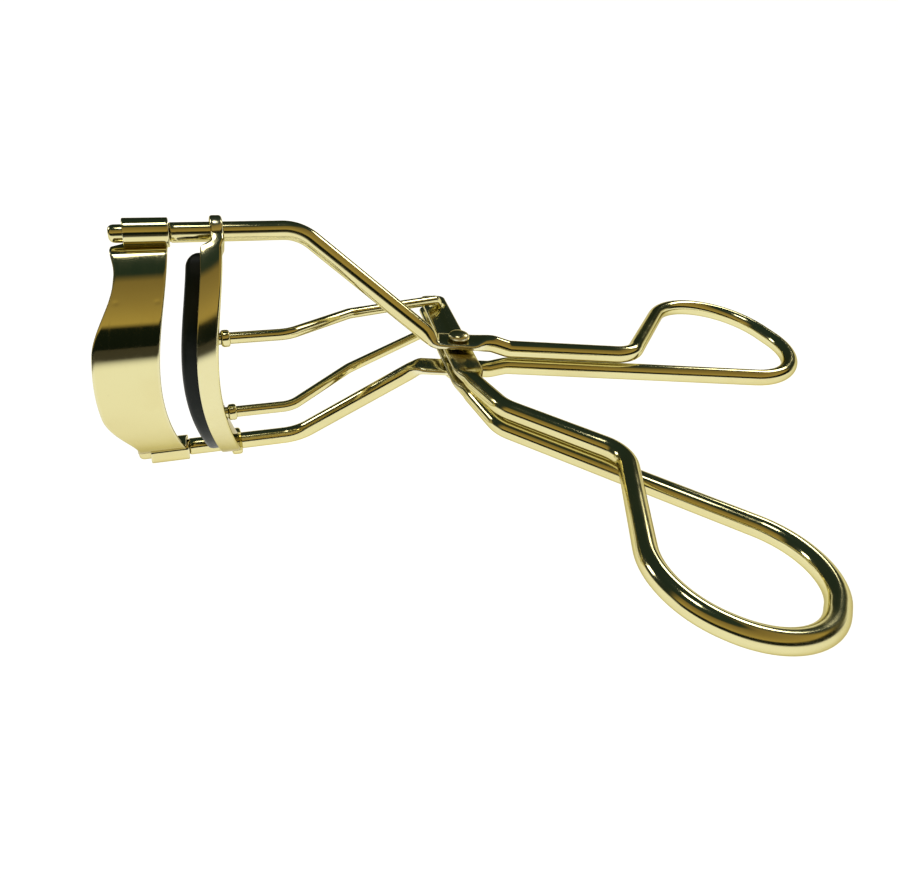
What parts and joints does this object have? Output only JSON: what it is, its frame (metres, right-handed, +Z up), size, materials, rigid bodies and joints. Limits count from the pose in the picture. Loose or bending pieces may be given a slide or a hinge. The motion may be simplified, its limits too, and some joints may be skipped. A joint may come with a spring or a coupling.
{
  "type": "eyelash curler",
  "caption": "Bent-wire eyelash curler: curved fixed jaw, sliding jaw with a rubber pad, push rods, riveted lever and finger-loop handles.",
  "frame": {"origin": "centre of the bounding box in X and Y, on the table that the curler lies on", "axes": "+X towards the jaws, +Y towards the lever handle, +Z up from the table: the curler lies on its right side"},
  "size_m": [0.1096, 0.0812, 0.0393],
  "materials": {
    "gold_plate": "polished pale champagne-gold plating over steel, mirror bright",
    "black_rubber": "smooth black rubber with a soft sheen"
  },
  "bodies": {
    "frame": {"frame_wire": "gold_plate", "fixed_jaw": "gold_plate", "pivot_rivet": "gold_plate", "pivot_spacer": "gold_plate"},
    "lever": {"lever_wire": "gold_plate"},
    "jaw_carriage": {"moving_jaw": "gold_plate", "lash_pad": "black_rubber", "push_rod_left": "gold_plate", "push_rod_right": "gold_plate"}
  },
  "joints": [
    {"name": "handle_squeeze", "type": "hinge", "parent": "frame", "child": "lever", "pos_m": [0.00457, -0.02093, 0.01274], "axis": [-0.1562, 0.1324, 0.9788], "range_deg": [-12, 6.8]},
    {"name": "jaw_slide", "type": "slide", "parent": "frame", "child": "jaw_carriage", "axis": [0.9875, 0, 0.1576], "range_m": [-0.0033, 0.0019]}
  ],
  "couplings": [
    {"joint": "jaw_slide", "follows": "handle_squeeze", "m_per_rad": 0.0153}
  ]
}
